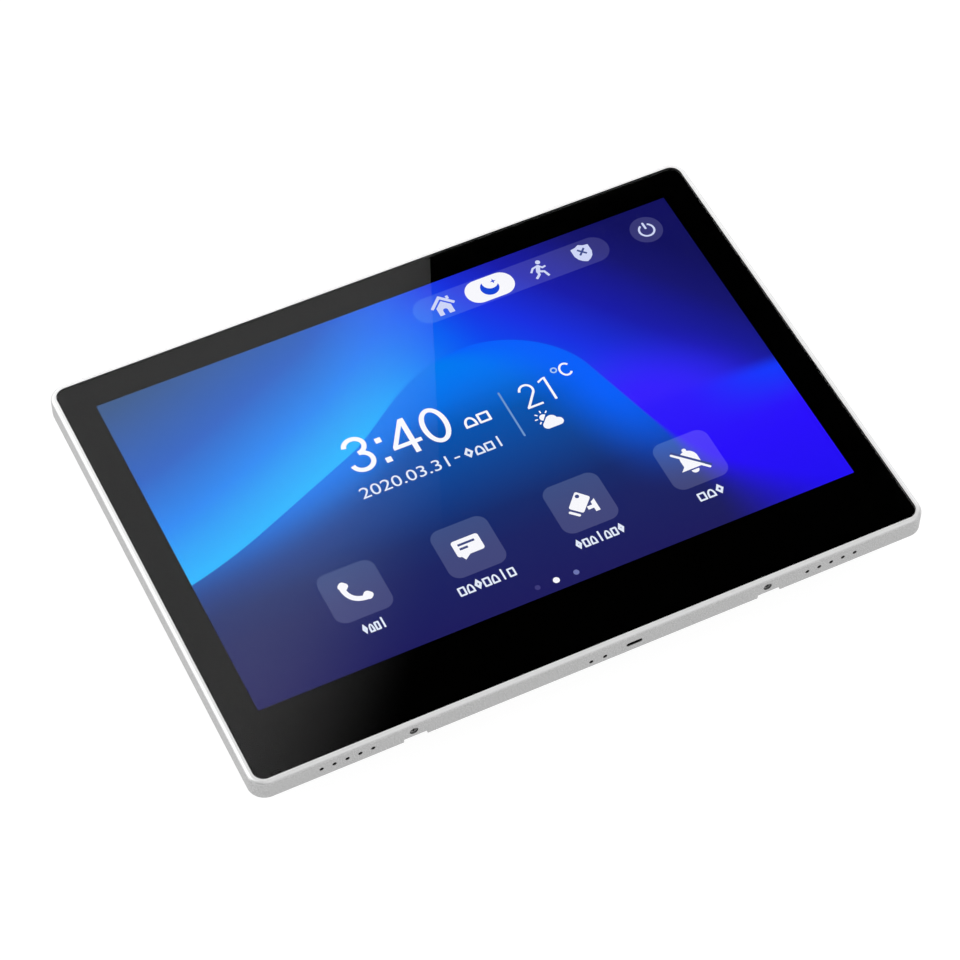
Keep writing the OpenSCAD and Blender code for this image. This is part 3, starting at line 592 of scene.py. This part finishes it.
dress(frame_material(), "front_frame")
dress(glass_material(), "cover_glass")
dress(ink, "border_print")
dress(lcd_material(), "lcd_cell")
dress(foam, "glass_tape", "lcd_foam", "speaker_gaskets")
dress(film, "diffuser_sheet", "light_guide", "reflector_sheet")
dress(leds, "led_strip")
dress(steel, "backlight_tray", "chassis_plate", "wifi_shield", "ethernet_jack")
dress(black_oxide, "service_port", "rear_screws")
dress(zinc, "chassis_screws", "board_screws", "io_board_screws", "power_plug_screws", "io_plug_screws",
      "lock_clip_left", "lock_clip_right")
dress(lock_steel, "lock_screw_left", "lock_screw_right")
dress(board_material(), "main_board", "io_board")
dress(epoxy, "processor", "board_chips", "network_transformer", "coils", "reset_switch",
      "service_port_tongue")
dress(pad, "thermal_pad")
dress(can, "capacitors")
dress(ivory, "relay", "board_connectors", "reset_button")
dress(black_plastic, "inner_frame", "coin_cell_holder", "speaker_left", "speaker_right")
dress(cover, "rear_cover", "connector_tray")
dress(cell, "coin_cell")
dress(gold, "ethernet_contacts", "microphone", "wifi_antenna")
dress(tin, "terminal_pins")
dress(green, "power_header", "io_header", "power_plug", "io_plug")
dress(rubber, "microphone_boot")
dress(jacket, "antenna_cable", "speaker_cables")
dress(amber, "lcd_flex", "touch_flex", "io_flex")

# ---------------------------------------------------------------- shapes drawn on the screen

white = glow("screen_white", srgb(250, 250, 255))
status_white = glow("screen_status_white", srgb(208, 216, 249))
soft_white = glow("screen_pale", srgb(226, 234, 250))
dim = glow("screen_dim", srgb(110, 118, 178))
faint = glow("screen_faint", srgb(62, 60, 122))
pill_blue = glow("screen_blue", srgb(22, 70, 215))
tile_blue = glow("screen_slate", srgb(62, 76, 140))
soft_blue = glow("screen_soft_blue", srgb(165, 200, 240))
line_blue = glow("screen_line", srgb(110, 150, 205))

CLOCK_LOW, CLOCK_HIGH = 3.2, 18.6
three = [
    [along(oval(-37.3, 14.5, 3.5, 3.2, -88, 172, 26), 1.75)],
    [along(oval(-37.2, 7.7, 3.8, 3.6, -172, 88, 30), 1.75)],
]
four = [
    [(-25.7, 7.0), (-19.3, 7.0), (-19.3, CLOCK_LOW), (-17.4, CLOCK_LOW), (-17.4, 7.0), (-15.2, 7.0),
     (-15.2, 8.6), (-17.4, 8.6), (-17.4, CLOCK_HIGH), (-19.3, CLOCK_HIGH), (-25.7, 8.3)],
    [(-23.6, 8.6), (-19.3, 8.6), (-19.3, 15.6)],
]
zero = [oval(-8.85, 10.9, 4.85, 7.7), oval(-8.85, 10.9, 3.0, 5.95)]
colon = [[box(-30.0, y, -27.8, y + 2.2)] for y in (3.4, 12.3)]
clock = three + [four, zero] + colon
drawn("screen_clock", clock + glyphs("hs", -0.2, 10.1, 4.8, 5.4, 0.85), white)
drawn("screen_date", digits("2020.03.31", -43.6, -11.4, -6.9, -2.3, 0.0) + [[box(-9.0, -4.9, -7.0, -4.3)]]
      + glyphs("dhs|", -5.6, 9.5, -6.8, 4.6, 0.7), soft_white)
drawn("screen_divider", [[box(16.1, -6.4, 16.8, 14.2, 0.3)]], line_blue)
two = [
    [along(oval(25.4, 10.75, 2.4, 2.5, -38, 172, 22)[::-1] + [(23.2, 4.0)], 0.85)],
    [box(22.6, 3.3, 28.5, 4.15)],
]
one = [[box(32.8, 3.3, 33.7, 13.6)], [[(30.6, 11.9), (32.8, 12.9), (32.8, 13.6), (30.6, 12.75)]]]
unit = [oval(41.7, 13.4, 2.4, 2.9, 40, 320) + oval(41.7, 13.4, 1.65, 2.15, 40, 320)[::-1]]
drawn("screen_degrees", two + one + [unit], white)
drawn("screen_degree_ring", [[circle(37.8, 14.7, 1.25), circle(37.8, 14.7, 0.7)]], soft_blue)


def weather():
    """A low sun half behind a cloud."""
    rays = []
    for a in (45, 90, 135, 180, 225):
        c, s = math.cos(math.radians(a)), math.sin(math.radians(a))
        rays.append([stroke(25.5 + 2.25 * c, -2.0 + 2.25 * s, 25.5 + 2.9 * c, -2.0 + 2.9 * s, 0.5)])
    disc = [[arc(25.5, -2.0, 1.35, 35, 245, 24)]]
    cloud = [[arc(25.5, -5.5, 1.6, 120, 270, 12) + arc(29.7, -5.5, 1.6, -90, 60, 12)
              + arc(27.6, -4.1, 2.1, 10, 140, 12)]]
    return rays + disc + cloud


drawn("screen_weather", weather(), white)

# Status row: house, selected pill with a moon, walker, shield, and the power sign apart
drawn("screen_pill", [[box(25.3, 52.1, 43.6, 62.3, 5.0)]], white)
moon = arc(34.5, 57.3, 3.4, 123, 369, 30) + arc(35.5, 59.5, 2.9, 325, 167, 20)
star = [arc(36.7, 59.4, 1.1 if k % 2 == 0 else 0.4, k * 45 + 90, k * 45 + 90, 1)[0] for k in range(8)]
drawn("screen_moon", [[moon], [star]], pill_blue, lift=0.012)

house = [
    [softened([(11.6, 57.1), (16.3, 61.6), (21.0, 57.1), (20.2, 56.3), (16.3, 60.0), (12.4, 56.3)], 0.2)],
    [box(18.6, 59.0, 19.6, 60.5)],
    [[(13.5, 56.5), (16.3, 59.1), (19.1, 56.5), (19.1, 52.9), (17.1, 52.9)] + arc(16.2, 54.6, 0.9, 0, 180, 12)
     + [(15.3, 52.9), (13.5, 52.9)]],
]
walker = [
    [circle(54.6, 60.3, 0.9)],
    [stroke(53.8, 58.5, 52.9, 56.4, 1.5)],
    [along([(54.0, 58.7), (55.1, 57.5), (56.4, 57.8)], 0.75)],
    [along([(53.6, 58.8), (51.7, 58.4), (50.4, 56.8)], 0.75)],
    [along([(52.9, 56.5), (54.9, 55.6), (55.7, 53.2)], 0.9)],
    [along([(52.8, 56.4), (52.7, 55.0), (51.0, 53.6)], 0.9)],
]
shield = [(70.8, 61.3), (72.3, 60.5), (74.2, 60.2), (74.2, 56.9), (73.5, 55.1), (72.3, 53.9), (70.8, 53.1),
          (69.3, 53.9), (68.1, 55.1), (67.4, 56.9), (67.4, 60.2), (69.3, 60.5)]
cross = [turned(box(70.45, 56.05, 71.2, 59.75), a, 70.82, 57.9) for a in (45, 135)]
power = [[band(96.0, 57.0, 2.35, 3.1, 118, 422)], [stroke(96.0, 57.9, 96.0, 60.3, 0.8)]]
drawn("screen_status", house + walker + [[softened(shield, 0.3)]] + power, status_white)
drawn("screen_shield_cross", [[c] for c in cross], tile_blue, lift=0.012)

# Tiles: handset, speech bubble, wall camera, silenced bell
handset = [
    [along(bend((-65.1, -36.6), (-64.8, -42.6), (-58.9, -43.0)), 1.9)],
    [turned(box(-66.2, -37.5, -62.9, -34.4, 1.2), -45, -64.5, -36.0)],
    [turned(box(-60.0, -43.9, -56.7, -40.9, 1.2), -45, -58.35, -42.4)],
]
bubble = [
    [box(-25.6, -42.0, -15.8, -35.25, 1.0), box(-23.8, -37.8, -17.7, -36.9, 0.1),
     box(-23.8, -39.5, -20.8, -38.6, 0.1)],
    [[(-24.4, -42.0), (-23.6, -43.6), (-21.3, -42.0)]],
]
wall_camera = [
    [softened([(20.8, -34.4), (15.8, -39.8), (19.6, -43.5), (24.6, -38.4)], 0.8),
     circle(20.65, -36.45, 0.75)],
    [stroke(15.6, -41.5, 17.9, -43.7, 1.0)],
    [[(23.7, -40.4), (25.3, -39.5), (25.3, -44.6), (23.7, -44.6), (23.7, -43.0), (21.7, -43.0), (21.7, -41.6),
      (23.7, -41.6)]],
]
bell = [
    [arc(61.6, -38.6, 3.2, 0, 180, 20) + [(58.4, -41.3), (56.8, -42.9), (66.4, -42.9), (64.8, -41.3)]],
    [arc(61.4, -43.5, 1.4, 180, 360, 12)],
    [circle(61.6, -35.0, 0.8)],
]
drawn("screen_tile_signs", handset + bubble + wall_camera + bell, white)
drawn("screen_bell_gap", [[stroke(57.2, -34.3, 67.1, -43.9, 0.9)]], tile_blue, lift=0.012)
drawn("screen_bell_stroke", [[stroke(56.7, -35.1, 66.4, -44.6, 0.9)]], white, lift=0.018)

labels = (
    glyphs("dhs|", -66.0, -57.5, -56.3, 4.3, 0.66)
    + glyphs("shdsh|s", -31.8, -11.0, -56.3, 4.5, 0.66)
    + glyphs("dsh|hsd", 11.0, 29.2, -56.3, 4.3, 0.66)
    + glyphs("shd", 56.4, 66.5, -56.3, 4.3, 0.68)
)
drawn("screen_labels", labels, soft_white)
drawn("screen_page_dot", [[circle(-0.8, -63.7, 1.15)]], white)
drawn("screen_page_dot_dim", [[circle(6.5, -63.7, 1.0)]], dim)
drawn("screen_page_dot_faint", [[circle(-7.6, -63.7, 0.95)]], faint)

# ---------------------------------------------------------------- gauze behind the sound holes


def gauze_material():
    made, tree, shader = material("speaker_gauze")
    x, _, z = place(tree)
    weave = (x * 18).math("SINE") * 0.5 + (z * 18).math("SINE") * 0.5
    feed(tree, shader.inputs["Base Color"], blend(grey(0.002), grey(0.01), weave.smooth(-0.5, 0.7)))
    feed(tree, shader.inputs["Roughness"], noise(tree, 0.2) * 0.2 + 0.6)
    feed(tree, shader.inputs["Normal"], bump(tree, weave, 0.8, 0.05))
    return made


# How far the gauze lies behind the outside of the wall, its width, its bow, its half height and its level
GAUZE_BEHIND = 2.45 * MM
GAUZE_W = 19.4 * MM
GAUZE_BOW = 0.25 * MM
GAUZE_HALF = 0.7
GAUZE_Z = 17.95 * MM
GAUZE_COLUMNS = 28

gauze = gauze_material()
for side, node in (("left", "speaker_left"), ("right", "speaker_right")):
    low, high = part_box(node)
    mid_x = (low.x + high.x) / 2
    y0 = frame_low.y + GAUZE_BEHIND
    verts, faces = [], []
    for i in range(GAUZE_COLUMNS + 1):
        across = mid_x + (i / GAUZE_COLUMNS - 0.5) * GAUZE_W
        sag = GAUZE_BOW * math.sin(math.pi * i / GAUZE_COLUMNS)
        for dz in (-GAUZE_HALF, 0.0, GAUZE_HALF):
            verts.append((across, y0 + sag * (1 - abs(dz)), GAUZE_Z + dz * MM))
    for i in range(GAUZE_COLUMNS):
        for j in range(2):
            a = i * 3 + j
            faces.append((a, a + 3, a + 4, a + 1))
    add_mesh(f"speaker_gauze_{side}", verts, faces, gauze, smooth=True)

# ---------------------------------------------------------------- studio


def emitter(name, strength):
    made = bpy.data.materials.new(name)
    made.use_nodes = True
    tree = made.node_tree
    tree.nodes.clear()
    out = tree.nodes.new("ShaderNodeOutputMaterial")
    light = tree.nodes.new("ShaderNodeEmission")
    feed(tree, light.inputs["Strength"], strength(tree) if callable(strength) else strength)
    tree.links.new(light.outputs[0], out.inputs[0])
    return made


def floor_material():
    """Pale sheet lit from below, so that shadows on it stay faint."""
    made, tree, shader = material("studio_floor")
    fine = noise(tree, 6, 3.0)
    feed(tree, shader.inputs["Base Color"], blend(grey(0.14), grey(0.16), fine))
    feed(tree, shader.inputs["Roughness"], fine * 0.1 + 0.85)
    feed(tree, shader.inputs["Specular IOR Level"], 0.0)
    feed(tree, shader.inputs["Emission Color"], grey(1.0))
    feed(tree, shader.inputs["Emission Strength"], 0.95)
    # From below the floor is clear, so that the object's back can be seen
    back = Value(tree, tree.nodes.new("ShaderNodeNewGeometry").outputs["Backfacing"])
    feed(tree, shader.inputs["Alpha"], back * -1 + 1)
    return made


floor_mesh = bpy.data.meshes.new("studio_floor")
reach = 6.0
floor_mesh.from_pydata([(-reach, -reach, 0), (reach, -reach, 0), (reach, reach, 0), (-reach, reach, 0)], [],
                       [(0, 1, 2, 3)])
floor_mesh.materials.append(floor_material())
floor = bpy.data.objects.new("studio_floor", floor_mesh)
floor.location.z = -0.0004
bpy.context.scene.collection.objects.link(floor)

CAMERA = Vector((-0.3013, -0.6003, 0.9041))
TARGET = Vector((-0.0055, -0.0104, 0.022))


def card(name, corners, look):
    """A sheet of light over the object, which shows only as light and in reflections."""
    mesh = bpy.data.meshes.new(name)
    mesh.from_pydata([Vector(c) for c in corners], [], [tuple(range(len(corners)))])
    mesh.materials.append(look)
    made = bpy.data.objects.new(name, mesh)
    bpy.context.scene.collection.objects.link(made)
    made.visible_camera = False
    return made


# Window of soft light overhead, with one straight side, that the left part of the glass mirrors
WINDOW_Z = 1.5
# Its light fades across a line through this place at this angle, over this width on either side
FADE_X, FADE_Y = 0.345, 0.925
FADE_ANGLE = math.radians(50.4)
FADE_HALF = 0.075
WINDOW_POWER = 1.58


def window_strength(tree):
    x, y, _ = place(tree, scale=1.0)
    away = (x - FADE_X) * math.sin(FADE_ANGLE) - (y - FADE_Y) * math.cos(FADE_ANGLE)
    return away.smooth(FADE_HALF, -FADE_HALF) * WINDOW_POWER


card("studio_window", [(0.609, 1.34, WINDOW_Z), (0.1, 1.34, WINDOW_Z), (0.1, 0.68, WINDOW_Z),
                       (0.322, 0.68, WINDOW_Z)], emitter("window_light", window_strength))

# A dim room with soft lamps where the metal rim mirrors them from the front, and a dark flag
# where the glass does. Each lamp has its direction, its half width in degrees and its strength.
LAMPS = (
    ((-0.62, 0.54, 0.57), 30, 1.9),
    ((0.27, -0.45, 0.86), 38, 0.95),
    ((0.72, 0.54, 0.47), 19, 1.5),
    ((0.27, 0.82, 0.52), 19, 1.8),
)
LAMP_FADE = 12
FLAG_X = (0.16, 0.53)
FLAG_Y = (0.53, 0.83)

world = bpy.data.worlds.new("studio")
bpy.context.scene.world = world
world.use_nodes = True
tree = world.node_tree
backdrop = tree.nodes["Background"]
where = tree.nodes.new("ShaderNodeTexCoord")
parts = tree.nodes.new("ShaderNodeSeparateXYZ")
tree.links.new(where.outputs["Generated"], parts.inputs[0])
east, north, up = (Value(tree, parts.outputs[i]) for i in range(3))
glare = up.smooth(0.2, 0.06) * 0.7 + 0.3
for to, half_width, power in LAMPS:
    x, y, z = Vector(to).normalized()
    facing = east * x + north * y + up * z
    edge, full = (math.cos(math.radians(half_width + s * LAMP_FADE)) for s in (1, -1))
    glare = glare.math("MAXIMUM", facing.smooth(edge, full) * power)
height = up.math("MAXIMUM", 0.05)
flag = 1.0
for place_in_sky, (low, high) in ((east / height, FLAG_X), (north / height, FLAG_Y)):
    flag = place_in_sky.smooth(low - 0.05, low) * place_in_sky.smooth(high + 0.05, high) * flag
seen = Value(tree, tree.nodes.new("ShaderNodeLightPath").outputs["Is Camera Ray"])
feed(tree, backdrop.inputs["Color"], grey(1.0))
feed(tree, backdrop.inputs["Strength"], (glare * (flag * -1 + 1.001)).math("MAXIMUM", seen))

# ---------------------------------------------------------------- camera

forward = (TARGET - CAMERA).normalized()
level = forward.cross(Vector((0, 0, 1))).normalized()
ROLL = math.radians(-0.71)
head = level.cross(forward) * math.cos(ROLL) + level * math.sin(ROLL)
side = forward.cross(head)
lens = bpy.data.cameras.new("camera")
lens.lens = 124.34
lens.sensor_width = 36
lens.clip_start = 0.05
camera = bpy.data.objects.new("camera", lens)
camera.matrix_world = Matrix.Translation(CAMERA) @ Matrix((side, head, -forward)).transposed().to_4x4()
bpy.context.scene.collection.objects.link(camera)
bpy.context.scene.camera = camera
bpy.context.scene.view_settings.view_transform = "Standard"
